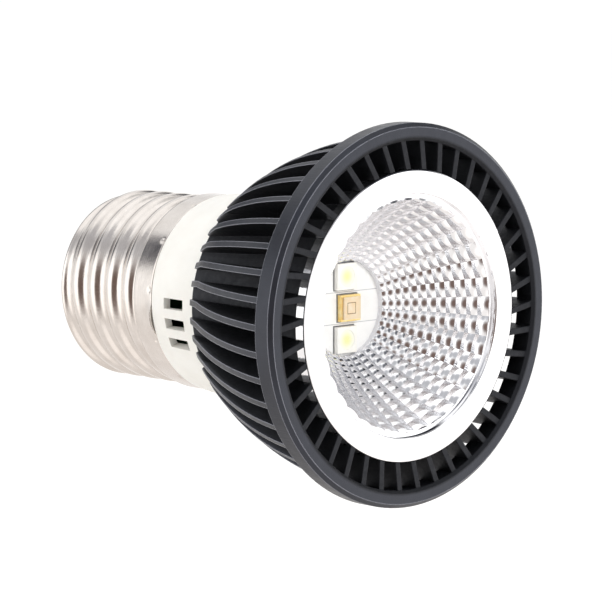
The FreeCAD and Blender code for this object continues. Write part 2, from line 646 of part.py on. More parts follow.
def bowl_radius(x):
    """Inside of the bowl: a paraboloid through its open bottom and its mouth."""
    low, high = size(f"{BOARD_FACE} + bowl_foot"), size(f"{FLANGE_FACE} - mouth_edge_depth")
    low_radius, high_radius = size(HOLE_RADIUS), size(FACET_RADIUS)
    share = (x - low) / (high - low)
    return math.sqrt(low_radius**2 + (high_radius**2 - low_radius**2) * share)


def bowl_place(radius):
    """The place along the axis at which the bowl has this radius."""
    low, high = size(f"{BOARD_FACE} + bowl_foot"), size(f"{FLANGE_FACE} - mouth_edge_depth")
    low_radius, high_radius = size(HOLE_RADIUS), size(FACET_RADIUS)
    share = (radius**2 - low_radius**2) / (high_radius**2 - low_radius**2)
    return low + (high - low) * share


def bowl_outside(radius):
    """The point (along, radius) of the bowl's outer side behind a point of its inside."""
    step = 0.01
    wall = size("bowl_wall")
    rise = bowl_place(radius + step) - bowl_place(radius - step)
    tangent = Vector(rise, 2 * step, 0).normalize()
    return Vector(bowl_place(radius) - tangent.y * wall, radius + tangent.x * wall, 0)


def facet_core():
    """The solid that the bowl's facets are the skin of: rings of flat trapezoids, one above the other."""
    columns = int(size("facet_columns"))
    rows = int(size("facet_rows"))
    low_radius, high_radius = size(HOLE_RADIUS), size(FACET_RADIUS)
    rings = [(size(BOARD_FACE) - 1, low_radius)]
    for row in range(rows + 1):
        radius = low_radius + (high_radius - low_radius) * (row / rows) ** size("facet_growth")
        rings.append((bowl_place(radius), radius))
    rings.append((size(FLANGE_FACE) + 1, high_radius))
    corners = [
        [around(radius, 360 * (column + 0.5) / columns, x) for column in range(columns)]
        for x, radius in rings
    ]
    faces = []
    for lower, upper in zip(corners, corners[1:]):
        for column in range(columns):
            after = (column + 1) % columns
            loop = [lower[column], lower[after], upper[after], upper[column], lower[column]]
            faces.append(Part.Face(Part.makePolygon(loop)))
    for ring in (corners[0], corners[-1]):
        faces.append(Part.Face(Part.makePolygon(ring + ring[:1])))
    core = Part.makeSolid(Part.makeShell(faces))
    if core.Volume < 0:
        core.reverse()
    return core


def reflector():
    """Mirror-coated plastic: a flat flange, a bowl of flat facets and a foot on the board."""
    board = size(BOARD_FACE)
    seat = size(FLANGE_SEAT)
    face = size(FLANGE_FACE)
    flange = size(FLANGE_RADIUS)
    low, high = size(f"{HOLE_RADIUS} + 0.35"), bowl_radius(seat)
    back = [bowl_outside(low + (high - low) * step / 4) for step in range(5)]
    back[-1] = Vector(seat, back[-1].y, 0)
    corners = [Vector(board, back[0].y, 0)] + back
    corners += [Vector(seat, flange, 0), Vector(face - 0.15, flange, 0)]
    corners += [Vector(face, flange - 0.15, 0), Vector(face, 0, 0), Vector(board, 0, 0)]
    outline = Part.Face(Part.makePolygon(corners + corners[:1]))
    blank = shape_feature("reflector_blank", outline.revolve(Vector(), Vector(1, 0, 0), 360))
    mouth = size(MOUTH_RADIUS)
    band = size("mouth_edge_depth")
    inner = mouth - size("mouth_edge")
    cone = Part.makeCone(inner, mouth, band, Vector(face - band, 0, 0), Vector(1, 0, 0))
    lid = Part.makeCylinder(mouth, 1, Vector(face, 0, 0), Vector(1, 0, 0))
    core = shape_feature("reflector_core", facet_core())
    edge = shape_feature("reflector_mouth", cone.fuse(lid).removeSplitter())
    bored = doc.addObject("Part::Cut", "reflector_bored")
    bored.Base = blank
    bored.Tool = core
    cut = doc.addObject("Part::Cut", "reflector")
    cut.Label = "reflector"
    cut.Base = bored
    cut.Tool = edge


def disc_with_ways(name, start, wall, radius):
    """A round plate on the cup's floor, with ways for the board screws and the two leads."""
    plate = new_body(name)
    outline = new_sketch(plate, f"{name}_outline", "YZ_Plane", start)
    draw_circle(outline, 0, 0, radius)
    padded(plate, "plate", outline, wall)
    for side in (1, -1):
        round_hole(plate, f"screw_way_{side + 1}", f"{start} - 1",
                   f"{side} * {BOARD_SCREW_PLACE}", 0, "board_screw_radius + fit", f"{wall} + 2")
        round_hole(plate, f"lead_way_{side + 1}", f"{start} - 1",
                   LED_LEAD_PLACE, f"{side} * led_lead_spread", "lead_radius + 0.1",
                   f"{wall} + 2")
    return plate


def square_outline(sketch, across, up, side):
    half = f"({side}) / 2"
    draw_outline(sketch, [
        (f"{across} - {half}", f"{up} - {half}"), (f"{across} + {half}", f"{up} - {half}"),
        (f"{across} + {half}", f"{up} + {half}"), (f"{across} - {half}", f"{up} + {half}"),
    ])


def light_packages():
    """Two white-light packages with a round yellow fill, and between them the UVB package."""
    for name, side in (("white_led_upper", 1), ("white_led_lower", -1)):
        package = new_body(name)
        up = f"{side} * {PACKAGE_PITCH}"
        outline = new_sketch(package, f"{name}_outline", "YZ_Plane", BOARD_FACE)
        square_outline(outline, "0", up, "package_side")
        padded(package, "base", outline, "white_package_height")
        well_floor = f"{BOARD_FACE} + white_package_height - fill_depth"
        round_hole(package, "well", well_floor, 0, up, "fill_radius", "1")
        fill = new_body(f"{name}_phosphor")
        outline = new_sketch(fill, f"{name}_fill_outline", "YZ_Plane", well_floor)
        draw_circle(outline, 0, up, "fill_radius - 0.01")
        padded(fill, "fill", outline, "fill_depth - 0.03")

    base = new_body("uvb_led_base")
    outline = new_sketch(base, "uvb_outline", "YZ_Plane", BOARD_FACE)
    square_outline(outline, "uvb_offset", "0", "package_side")
    padded(base, "ceramic", outline, "uvb_package_height")
    well_floor = f"{BOARD_FACE} + uvb_package_height - 0.5"
    well = new_sketch(base, "uvb_well_outline", "YZ_Plane", well_floor)
    square_outline(well, "uvb_offset", "0", "uvb_well_side")
    pocketed(base, "well", well, "1")

    chip = new_body("uvb_led_chip")
    outline = new_sketch(chip, "chip_outline", "YZ_Plane", well_floor)
    square_outline(outline, "uvb_offset", "0", "1.1")
    padded(chip, "chip", outline, "0.2")

    window = new_body("uvb_led_window")
    outline = new_sketch(window, "window_outline", "YZ_Plane", f"{BOARD_FACE} + uvb_package_height")
    square_outline(outline, "uvb_offset", "0", "uvb_well_side + 0.5")
    padded(window, "window", outline, "0.3")


def screw_pair(name, seat, across, up, shank, length, head, head_height):
    """Two like screws, driven towards the cap: a raised head with a cross recess on a shank."""
    solids = []
    for side in (1, -1):
        place = Vector(size(seat), side * size(across), side * size(up))
        back = Vector(-1, 0, 0)
        body = Part.makeCylinder(size(shank), size(length), place, back)
        dome = Part.makeCylinder(size(head), size(head_height), place, -back)
        rim = [
            edge for edge in dome.Edges
            if edge.BoundBox.XMin > place.x + size(head_height) / 2 and edge.BoundBox.XLength < 1e-6
        ]
        dome = dome.makeChamfer(0.35 * size(head_height), rim)
        screw = body.fuse(dome)
        for turn in (0, 90):
            corner = Vector(0.5 * size(head_height), -0.6 * size(head), -0.125 * size(head))
            blade = Part.makeBox(0.7 * size(head_height), 1.2 * size(head), 0.25 * size(head), corner)
            blade.rotate(Vector(), Vector(1, 0, 0), turn)
            blade.translate(place)
            screw = screw.cut(blade)
        solids.append(screw.removeSplitter())
    shape_feature(name, Part.makeCompound(solids))


def block(name, corner, lengths, edge=0.25):
    """A moulded block with its long edges broken. corner and lengths are expressions along X, Y and Z."""
    body = new_body(name)
    outline = new_sketch(body, f"{name}_outline", "YZ_Plane", corner[0])
    y, z = corner[1:]
    far_y, far_z = f"{y} + {lengths[1]}", f"{z} + {lengths[2]}"
    draw_outline(outline, [
        (f"{y} + {edge}", z), (f"{far_y} - {edge}", z),
        (far_y, f"{z} + {edge}"), (far_y, f"{far_z} - {edge}"),
        (f"{far_y} - {edge}", far_z), (f"{y} + {edge}", far_z),
        (y, f"{far_z} - {edge}"), (y, f"{z} + {edge}"),
    ])
    padded(body, "block", outline, lengths[0])
    return body


def can(name, place, upright, radius, length):
    """An electrolytic capacitor: a rolled can with a crimped groove near its sealed end."""
    body = new_body(name)
    turned(body, "rolled_can", [
        (0, 0), (0, f"{radius} - 0.3"), (0.3, radius),
        (1.2, radius), (1.6, f"{radius} - 0.35"), (2.0, radius),
        (f"{length} - 0.4", radius), (length, f"{radius} - 0.4"), (length, 0),
    ])
    if upright:
        body.Placement = Placement(Vector(), Rotation(Vector(0, 0, 1), 90))
    for axis, expression in zip("xyz", place):
        bind(body, f"Placement.Base.{axis}", expression)


def lead(name, radius, bend, route):
    """A wire along straight runs joined by tangent arcs."""
    points = [Vector(*(size(value) for value in point)) for point in route]
    edges = []
    start = points[0]
    for before, corner, after in zip(points, points[1:], points[2:]):
        into = (corner - before).normalize()
        out = (after - corner).normalize()
        turn = into.getAngle(out)
        cut = bend * math.tan(turn / 2)
        first = corner - into * cut
        last = corner + out * cut
        bisector = (out - into).normalize()
        middle = corner + bisector * (bend / math.cos(turn / 2) - bend)
        edges.append(Part.LineSegment(start, first).toShape())
        edges.append(Part.Arc(first, middle, last).toShape())
        start = last
    edges.append(Part.LineSegment(start, points[-1]).toShape())
    path = Part.Wire(edges)
    heading = (points[1] - points[0]).normalize()
    ring = Part.Wire([Part.makeCircle(radius, points[0], heading)])
    wire = path.makePipeShell([ring], True, True)
    share = wire.Volume / (math.pi * radius**2 * path.Length)
    print(name, "length", round(path.Length, 1), "volume share", round(share, 4))
    return shape_feature(name, wire)


def transformer():
    """A ferrite core of two E halves round a moulded bobbin with its winding."""
    core = new_body("transformer_core")
    outline = new_sketch(core, "core_outline", "XZ_Plane", "-core_level - core_thickness")
    x = CORE_REAR
    half = "core_width / 2"
    draw_outline(outline, [
        (x, f"-{half}"), (f"{x} + core_length", f"-{half}"), (f"{x} + core_length", half), (x, half),
    ])
    padded(core, "block", outline, "core_thickness")
    for side in (1, -1):
        window = new_sketch(core, f"window_outline_{side + 1}", "XZ_Plane",
                            "-core_level - core_thickness - 1")
        near, far = f"{side} * core_leg / 2", f"{side} * ({half} - core_side_leg)"
        draw_outline(window, [
            (f"{x} + core_yoke", near), (f"{x} + core_length - core_yoke", near),
            (f"{x} + core_length - core_yoke", far), (f"{x} + core_yoke", far),
        ])
        pocketed(core, f"window_{side + 1}", window, "core_thickness + 2")

    def frame(body, name, start, length, inside, outside):
        """A frame round the middle leg. Its inside and outside are given as gaps to the leg."""
        outline = new_sketch(body, f"{name}_outline", "YZ_Plane", start)
        for gap in (outside, inside):
            low, high = f"core_level - ({gap})", f"core_level + core_thickness + {gap}"
            wide = f"core_leg / 2 + {gap}"
            draw_outline(outline, [
                (low, f"-({wide})"), (high, f"-({wide})"), (high, wide), (low, wide),
            ])
        padded(body, name, outline, length)

    window_start = f"({CORE_REAR} + core_yoke + fit)"
    window_length = "(core_length - 2 * core_yoke - 2 * fit)"
    bobbin = new_body("transformer_bobbin")
    frame(bobbin, "tube", window_start, window_length, "fit", "bobbin_wall")
    for end, start in (("rear", window_start), ("front", f"{window_start} + {window_length} - 0.6")):
        frame(bobbin, f"{end}_flange", start, "0.6", "fit", "bobbin_flange")
        outline = new_sketch(bobbin, f"{end}_foot_outline", "YZ_Plane", start)
        low, high = "driver_level + fit", "core_level - bobbin_flange + 0.1"
        wide = "core_leg / 2 + bobbin_flange"
        draw_outline(outline, [
            (low, f"-({wide})"), (high, f"-({wide})"), (high, wide), (low, wide),
        ])
        padded(bobbin, f"{end}_foot", outline, "0.6")

    winding = new_body("transformer_winding")
    frame(winding, "turns", f"{window_start} + 0.6 + fit", f"{window_length} - 1.2 - 2 * fit",
          "bobbin_wall + fit", "bobbin_flange - 0.3")


def driver():
    """The driver board and what is soldered to it: tall parts on its +Y face, chips on the other."""
    block("driver_board", ("driver_rear", "driver_level - driver_wall", f"-{DRIVER_WIDTH} / 2"),
          (f"{DRIVER_FRONT} - driver_rear", "driver_wall", DRIVER_WIDTH), 0.05)
    top = "(driver_level + fit)"
    under = "(driver_level - driver_wall - fit)"
    bulk_rear = "(driver_rear + bulk_setback)"
    bulk_side = f"{DRIVER_WIDTH} / 2 - bulk_edge - {BULK_RADIUS}"
    can("bulk_capacitor", (bulk_rear, f"{top} + {BULK_RADIUS}", bulk_side), False,
        BULK_RADIUS, f"({CORE_REAR} - bulk_gap - {bulk_rear})")
    can("output_capacitor", (f"{DRIVER_FRONT} - output_gap - output_radius", top, 0), True,
        "output_radius", "output_height")
    film_rear = "(driver_rear + part_setback)"
    block("film_capacitor", (film_rear, top, f"-({DRIVER_WIDTH} / 2 - film_edge)"),
          (f"{RESISTOR_REAR} - film_gap - {film_rear}", "film_height", "film_width"), 0.4)

    resistor = new_body("fusible_resistor")
    cap, coat, end = "resistor_radius", "resistor_radius - 0.15", "resistor_radius - 0.3"
    turned(resistor, "rod", [
        (0, 0), (0, end), (0.2, cap), (1.0, cap), (1.2, coat), ("resistor_length - 1.2", coat),
        ("resistor_length - 1.0", cap), ("resistor_length - 0.2", cap), ("resistor_length", end),
        ("resistor_length", 0),
    ])
    middle = f"-({DRIVER_WIDTH} / 2 - film_edge - film_width / 2)"
    for axis, expression in zip("xyz", (RESISTOR_REAR, f"{top} + resistor_radius", middle)):
        bind(resistor, f"Placement.Base.{axis}", expression)

    for name, rear in (("bridge_rectifier", film_rear), ("driver_chip", f"({CORE_REAR} + 3)")):
        block(name, (rear, f"{under} - chip_height", "-chip_width / 2"),
              ("chip_length", "chip_height", "chip_width"))
    chips = []
    rear, front = size("driver_rear"), size(DRIVER_FRONT)
    for x, z in ((rear + 9.5, 3.2), (rear + 9.5, -4.4), (rear + 12.5, 2.6),
                 (front - 8.0, 4.0), (front - 8.0, -5.0), (front - 4.5, 0.5)):
        chips.append(Part.makeBox(2.0, 0.55, 1.25, Vector(x, size(under) - 0.55, z)))
    shape_feature("chip_resistors", Part.makeCompound(chips))


def leads():
    """The four wires that the housing holds all the way."""
    board = "(driver_level + fit)"
    lead("live_lead", size("lead_radius"), size("lead_bend"), [
        ("driver_rear + 0.6", board, 0), ("driver_rear + 0.6", 0, 0), ("pin_length + fit", 0, 0),
    ])
    behind = "(spigot_rear - 0.7)"
    near_y = f"({board} + neutral_radius - 0.04)"
    near_z = f"-({DRIVER_WIDTH} / 2 - neutral_inset)"
    far_y = f"({SPIGOT_RADIUS} + 0.05) * cos(neutral_angle * 1deg)"
    far_z = f"({SPIGOT_RADIUS} + 0.05) * sin(neutral_angle * 1deg)"
    lead("neutral_lead", size("neutral_radius"), 2 * size("neutral_radius"), [
        ("driver_rear + 1.6", near_y, near_z), (behind, near_y, near_z),
        (behind, far_y, far_z), ("spigot_rear + 3.6", far_y, far_z),
    ])
    for name, side in (("led_positive_lead", 1), ("led_negative_lead", -1)):
        z = f"{side} * led_lead_spread"
        x = f"({DRIVER_FRONT} - 1.2)"
        lead(name, size("lead_radius"), size("lead_bend"), [
            (x, board, z), (x, LED_LEAD_PLACE, z), (f"{BOARD_FACE} + 0.6", LED_LEAD_PLACE, z),
        ])


contact_end()
screw_shell()
driver_housing()
heat_sink()
reflector()
disc_with_ways("thermal_pad", CUP_FLOOR, "pad_wall", BOARD_RADIUS)
disc_with_ways("led_board", BOARD_REAR, "board_wall", BOARD_RADIUS)
light_packages()
screw_pair("board_screws", BOARD_FACE, BOARD_SCREW_PLACE, "0",
           "board_screw_radius", "board_screw_length",
           "board_screw_head", "board_screw_head_height")
screw_pair("housing_screws", f"{CUP_FLOOR} - housing_screw_head_height - fit", "0", BOSS_PLACE,
           "housing_screw_radius", "housing_screw_length",
           "housing_screw_head", "housing_screw_head_height")
transformer()
driver()
leads()
doc.recompute()

HELPERS = ("reflector_blank", "reflector_core", "reflector_mouth", "reflector_bored")
for thing in doc.Objects:
    assert not {"Invalid", "Error"} & set(thing.State), f"{thing.Name}: {thing.State}"
subparts = [
    thing for thing in doc.Objects
    if thing.Name not in HELPERS and (thing.TypeId in ("PartDesign::Body", "Part::Feature", "Part::Cut"))
]
for thing in subparts:
    assert not thing.Shape.isNull() and thing.Shape.isValid(), f"{thing.Label} has no valid shape"
    assert thing.Shape.Solids, f"{thing.Label} has no solid"

os.makedirs("parts", exist_ok=True)
for thing in subparts:
    thing.Shape.exportStep(f"parts/{thing.Label}.step")
print(len(subparts), "sub-parts")
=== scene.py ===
import math

import bpy
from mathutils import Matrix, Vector


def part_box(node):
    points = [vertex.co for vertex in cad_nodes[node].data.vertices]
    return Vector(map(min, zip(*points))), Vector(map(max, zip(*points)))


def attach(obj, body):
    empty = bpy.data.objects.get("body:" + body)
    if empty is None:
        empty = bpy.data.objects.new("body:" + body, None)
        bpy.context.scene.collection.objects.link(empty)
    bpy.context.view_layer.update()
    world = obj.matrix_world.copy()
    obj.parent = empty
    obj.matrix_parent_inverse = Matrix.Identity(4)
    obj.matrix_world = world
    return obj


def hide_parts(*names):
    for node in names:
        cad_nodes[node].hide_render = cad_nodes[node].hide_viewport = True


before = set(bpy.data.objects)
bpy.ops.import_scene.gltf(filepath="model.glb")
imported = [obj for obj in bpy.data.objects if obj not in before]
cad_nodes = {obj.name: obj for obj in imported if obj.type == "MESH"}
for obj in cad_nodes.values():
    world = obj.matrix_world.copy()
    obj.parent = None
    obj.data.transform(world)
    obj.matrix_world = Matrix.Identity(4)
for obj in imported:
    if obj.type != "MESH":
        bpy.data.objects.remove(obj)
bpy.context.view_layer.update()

# Centre contact and its pin: two brass pressings with a nickel plate, riveted through the glass at the end
# of the screw cap. The spring of a socket has rubbed the middle of the plate a little brighter.


def linear(hex_colour):
    """An sRGB hex value as linear RGBA."""
    channels = [int(hex_colour[i:i + 2], 16) / 255 for i in (1, 3, 5)]
    return tuple(c / 12.92 if c <= 0.04045 else ((c + 0.055) / 1.055) ** 2.4 for c in channels) + (1.0,)


def add(tree, kind, inputs=None, stops=None, **settings):
    """Adds a shader node. An input takes a value, a hex colour or another's output, and a ramp its stops."""
    node = tree.nodes.new("ShaderNode" + kind)
    for name, value in settings.items():
        setattr(node, name, value)
    for name, value in (inputs or {}).items():
        if isinstance(value, bpy.types.NodeSocket):
            tree.links.new(value, node.inputs[name])
        else:
            node.inputs[name].default_value = linear(value) if isinstance(value, str) else value
    for number, (place, colour) in enumerate(stops or []):
        stop = node.color_ramp.elements[0] if number == 0 else node.color_ramp.elements.new(place)
        stop.position, stop.color = place, linear(colour)
    return node


def new_material(name):
    """An empty node material, its tree, and the place on the surface in millimetres."""
    made = bpy.data.materials.new(name)
    made.use_nodes = True
    tree = made.node_tree
    tree.nodes.clear()
    metres = add(tree, "TexCoord").outputs["Object"]
    place = add(tree, "VectorMath", {0: metres, 1: (1000, 1000, 1000)}, operation="MULTIPLY").outputs[0]
    return made, tree, place


def mottled(tree, place, size, low, high, stretch=(1, 1, 1)):
    """A value that wanders between two others over the surface, in blotches of that size in millimetres."""
    spread = add(tree, "Mapping", {"Vector": place, "Scale": tuple(s / size for s in stretch)}).outputs[0]
    blotches = {"Vector": spread, "Scale": 1.0, "Detail": 4.0, "Roughness": 0.6}
    noise = add(tree, "TexNoise", blotches).outputs[0]
    # The noise seldom leaves 0.32 to 0.68
    return add(tree, "MapRange", {0: noise, 1: 0.32, 2: 0.68, 3: low, 4: high}).outputs[0]


def clouded(tree, place, size, dark, light):
    """A colour that wanders between two hex colours, in clouds of that size in millimetres."""
    share = mottled(tree, place, size, 0.0, 1.0)
    return add(tree, "Mix", {0: share, 6: dark, 7: light}, data_type="RGBA").outputs[2]


def grained(tree, place, size, depth, stretch=(1, 1, 1)):
    """The surface's normal with a grain of that size and depth, both in millimetres."""
    height = mottled(tree, place, size, 0.0, 1.0, stretch)
    return add(tree, "Bump", {"Height": height, "Strength": 1.0, "Distance": depth / 1000}).outputs[0]


def surface(tree, **inputs):
    """The shader that ends a material, with underscores for the spaces of its inputs."""
    shader = add(tree, "BsdfPrincipled", {name.replace("_", " "): value for name, value in inputs.items()})
    add(tree, "OutputMaterial", {"Surface": shader.outputs[0]})


def paint(material, *names):
    """Gives CAD nodes their finish."""
    for name in names:
        for slot in cad_nodes[name].material_slots:
            slot.material = material


# Nickel-plated brass, pressed and barrel plated: warm grey mirror with soft wear and fine scratches.
contact_nickel, tree, place = new_material("nickel_plated_brass_contact")
surface(
    tree,
    Base_Color=clouded(tree, place, 1.6, "#BFB6A8", "#D8CFC0"),
    Metallic=1.0,
    Roughness=mottled(tree, place, 0.9, 0.18, 0.34),
    Normal=grained(tree, place, 0.12, 0.004, stretch=(1, 1, 0.12)),
)
paint(contact_nickel, "centre_contact", "contact_pin")

# Cap insulator: black glass, run molten into the end of the cap and pressed to its cone. It holds the
# contact and keeps it apart from the shell.

# Black glass, pressed: deep gloss with a slow ripple from the mould.
cap_glass, tree, place = new_material("black_pressed_glass")
surface(
    tree,
    Base_Color=clouded(tree, place, 2.4, "#08080A", "#14141A"),
    Roughness=mottled(tree, place, 0.7, 0.08, 0.2),
    IOR=1.52,
    Normal=grained(tree, place, 1.1, 0.03),
)
paint(cap_glass, "cap_insulator")

# Screw shell: thin brass sheet, drawn to a cup, rolled with the round right-hand lamp thread and nickel
# plated. A dimpled row near its rim, pressed in with a punch, holds it to the neck. Its sizes are in mm.
SHEET = 0.3
CAP_REAR, CAP_RIM = 3.6, 25.0
LIP, LIP_CORNER = 10.3, 11.0
CORNER_DEPTH = 1.25
VALLEY, CREST, SKIRT = 12.24, 13.12, 13.5
PITCH = 3.62
CREST_PLACE, CREST_ANGLE = 8.0, 170
FLANK_STEEPNESS = 1.3
THREAD_RISES, SKIRT_RISES = (3.9, 5.6), (19.9, 21.5)
THREAD_STEPS, INSIDE_STEPS = 132, 47
DIMPLES, DIMPLE_ANGLE, DIMPLE_PLACE = 12, 174.0, 24.55
DIMPLE_WIDTH, DIMPLE_DEPTH, DIMPLE_COLUMN = 0.55, 0.16, 0.7
LIFT_ANGLE, LIFT_SPREAD, LIFT_LENGTH, LIFT = 191, 12, 1.3, 0.5


def eased(value, start, end):
    """0 before the start, 1 after the end, and smooth between them."""
    share = min(1, max(0, (value - start) / (end - start)))
    return share * share * (3 - 2 * share)


def shell_radius(x, angle):
    """Outside of the shell: the thread rises out of the rear corner and runs out into the skirt."""
    turn = (x - CREST_PLACE) / PITCH - (angle - CREST_ANGLE) / 360
    share = math.tanh(FLANK_STEEPNESS * math.cos(2 * math.pi * turn)) / math.tanh(FLANK_STEEPNESS)
    wave = (CREST - VALLEY) / 2 * (1 + share)
    radius = VALLEY + wave * eased(x, *THREAD_RISES)
    return radius + (SKIRT - radius) * eased(x, *SKIRT_RISES)


def dimple(x, angle):
    """How deep the punch has pressed the skirt at this place."""
    spacing = 360 / DIMPLES
    off = (angle - DIMPLE_ANGLE + spacing / 2) % spacing - spacing / 2
    away = math.hypot(x - DIMPLE_PLACE, math.radians(off) * SKIRT) / DIMPLE_WIDTH
    return DIMPLE_DEPTH * (1 - away * away) ** 2 if away < 1 else 0


def lifted(x, angle):
    """How far the rim stands off the neck: it has sprung open a little on one side."""
    aside = ((angle - LIFT_ANGLE + 180) % 360 - 180) / LIFT_SPREAD
    along = max(0, 1 - (CAP_RIM - x) / LIFT_LENGTH)
    return LIFT * (1 - aside * aside) ** 2 * along * along if abs(aside) < 1 else 0


def around(radius, angle, x):
    """A point at a radius from the lamp's axis, in metres. The angle goes from +Y towards +Z."""
    turn = math.radians(angle)
    return (x / 1000, radius * math.cos(turn) / 1000, radius * math.sin(turn) / 1000)


def mesh_of_rings(name, rings, crease):
    """A closed mesh through rings of points, smooth but for edges sharper than the crease angle."""
    columns = len(rings[0])
    points = [point for ring in rings for point in ring]
    faces = []
    for row in range(len(rings)):
        below, above = row * columns, (row + 1) % len(rings) * columns
        for column in range(columns):
            after = (column + 1) % columns
            faces.append((below + column, below + after, above + after, above + column))
    mesh = bpy.data.meshes.new(name)
    mesh.from_pydata(points, [], faces)
    mesh.shade_smooth()
    mesh.set_sharp_from_angle(angle=math.radians(crease))
    piece = bpy.data.objects.new(name, mesh)
    bpy.context.scene.collection.objects.link(piece)
    return piece


def shell_angles():
    """Columns of the mesh: close together at each dimple and wider between."""
    spacing = 360 / DIMPLES
    fine = [step * DIMPLE_COLUMN for step in range(-5, 6)]
    coarse = [fine[-1] + (spacing - 2 * fine[-1]) * step / 12 for step in range(1, 12)]
    return [DIMPLE_ANGLE + number * spacing + offset for number in range(DIMPLES) for offset in fine + coarse]


def screw_shell():
    """Rings from the lip's opening over the outside to the rim, and back along the inside."""
    angles = shell_angles()
    rings = [[around(LIP, angle, CAP_REAR + 0.1) for angle in angles]]
    rings.append([around(LIP + 0.12, angle, CAP_REAR) for angle in angles])
    for degrees in range(0, 91, 15):
        turn = math.radians(degrees)
        x = CAP_REAR + CORNER_DEPTH * (1 - math.cos(turn))
        radius = LIP_CORNER + (VALLEY - LIP_CORNER) * math.sin(turn)
        rings.append([around(radius + shell_radius(x, angle) - VALLEY, angle, x) for angle in angles])
    start, end = CAP_REAR + CORNER_DEPTH, SKIRT_RISES[1] + 0.1
    for step in range(1, THREAD_STEPS + 1):
        x = start + (end - start) * step / THREAD_STEPS
        rings.append([around(shell_radius(x, angle), angle, x) for angle in angles])
    for x in (22.3, 23.0, 23.5, 23.65, 23.8, 23.95, 24.1, 24.25, 24.4, 24.55, 24.7, 24.85):
        rings.append([around(SKIRT - dimple(x, angle) + lifted(x, angle), angle, x) for angle in angles])
    for inward, place in ((0.04, CAP_RIM - 0.04), (0.12, CAP_RIM), (SHEET, CAP_RIM)):
        rings.append([around(SKIRT - inward + lifted(CAP_RIM, angle), angle, place) for angle in angles])
    start, end = CAP_RIM - 0.2, CAP_REAR + SHEET + 1
    for step in range(INSIDE_STEPS + 1):
        x = start + (end - start) * step / INSIDE_STEPS
        rings.append([
            around(shell_radius(x, angle) - dimple(x, angle) + lifted(x, angle) - SHEET, angle, x)
            for angle in angles
        ])
    rings.append([around(LIP_CORNER + 0.1, angle, CAP_REAR + SHEET) for angle in angles])
    rings.append([around(LIP, angle, CAP_REAR + SHEET) for angle in angles])
    return mesh_of_rings("screw_shell_rolled", rings, crease=50)


# Nickel-plated brass, rolled: warm bright grey. Rolling leaves fine lines along the thread, and handling
# leaves duller clouds. The lines, 0.02 mm apart on the real sheet, are drawn at 0.25 mm so that they show.
shell_nickel, tree, place = new_material("nickel_plated_brass_rolled")
lines = mottled(tree, place, 0.25, 0.0, 1.0, stretch=(1, 0.04, 0.04))
spots = mottled(tree, place, 0.6, 0.0, 1.0)
height = add(tree, "Math", {0: lines, 1: spots}, operation="ADD").outputs[0]
surface(
    tree,
    Base_Color=clouded(tree, place, 3.2, "#D7D0CA", "#E3DDD8"),
    Metallic=1.0,
    Roughness=mottled(tree, place, 1.9, 0.14, 0.22),
    Normal=add(tree, "Bump", {"Height": height, "Strength": 1.0, "Distance": 0.000004}).outputs[0],
)
shell = screw_shell()
shell.data.materials.append(shell_nickel)
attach(shell, "root")
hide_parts("screw_shell")

# Driver housing: one moulding of white flame-proof polyester, with the neck that shows between cap and heat
# sink. Three short slots on either side let warm air out.

# PBT polyester, moulded in a spark-eroded tool: dense warm white, satin, with a fine grain. The grain is
# 0.05 mm on the real part and drawn at 0.2 mm so that it shows.
housing_plastic, tree, place = new_material("white_pbt_moulded")
surface(
    tree,
    Base_Color=clouded(tree, place, 5.0, "#F1EFEA", "#F8F7F3"),
    Roughness=mottled(tree, place, 1.3, 0.36, 0.5),
    IOR=1.55,
    Subsurface_Weight=0.08,
    Subsurface_Radius=(1.0, 0.9, 0.8),
    Subsurface_Scale=0.0006,
    Normal=grained(tree, place, 0.2, 0.006),
)
paint(housing_plastic, "driver_housing")

# Driver board and what is soldered to it: the supply that sits in the neck, slid between the housing's
# ribs. It is a glass-epoxy board with a transformer, capacitors, a resistor and chips. Two leads join it to
# the cap and two to the light board.

# Glass-epoxy board with green solder mask: the weave, 0.5 mm apart, shows through as a faint check.
board_green, tree, place = new_material("glass_epoxy_green_mask")
weave = add(tree, "TexChecker", {"Vector": place, "Scale": 2.0}).outputs["Fac"]
surface(
    tree,
    Base_Color=clouded(tree, place, 3.0, "#1D5A34", "#27703F"),
    Roughness=mottled(tree, place, 0.8, 0.28, 0.42),
    IOR=1.55,
    Normal=add(tree, "Bump", {"Height": weave, "Strength": 1.0, "Distance": 0.00001}).outputs[0],
)
paint(board_green, "driver_board")


def plain_finish(name, dark, light, blotch, rough, index, grain, depth):
    """A moulded, dipped or fired skin: two close colours in blotches, uneven gloss and a grain, in mm."""
    made, tree, place = new_material(name)
    surface(
        tree,
        Base_Color=clouded(tree, place, blotch, dark, light),
        Roughness=mottled(tree, place, blotch / 3, rough - 0.06, rough + 0.06),
        IOR=index,
        Normal=grained(tree, place, grain, depth),
    )
    return made


# Fired ferrite is dull grey-black and granular. Moulded phenolic is black and half gloss. Polyester tape is
# smooth and amber. Shrunk sleeves are glossy, dipped epoxy is pitted, and lacquer on a resistor is smooth.
paint(plain_finish("fired_ferrite", "#26262A", "#3A3A3E", 1.5, 0.62, 2.3, 0.15, 0.02), "transformer_core")
paint(plain_finish("black_phenolic_moulded", "#151515", "#202020", 2.0, 0.4, 1.6, 0.12, 0.006),
      "transformer_bobbin")
paint(plain_finish("amber_polyester_tape", "#C79A2E", "#DBB24B", 2.5, 0.25, 1.58, 1.2, 0.02),
      "transformer_winding")
paint(plain_finish("black_shrunk_sleeve", "#1B1D26", "#252834", 3.0, 0.22, 1.53, 0.9, 0.015),
      "bulk_capacitor", "output_capacitor")
paint(plain_finish("yellow_epoxy_dipped", "#D9A21F", "#E8B83A", 2.0, 0.35, 1.55, 0.35, 0.02),
      "film_capacitor")
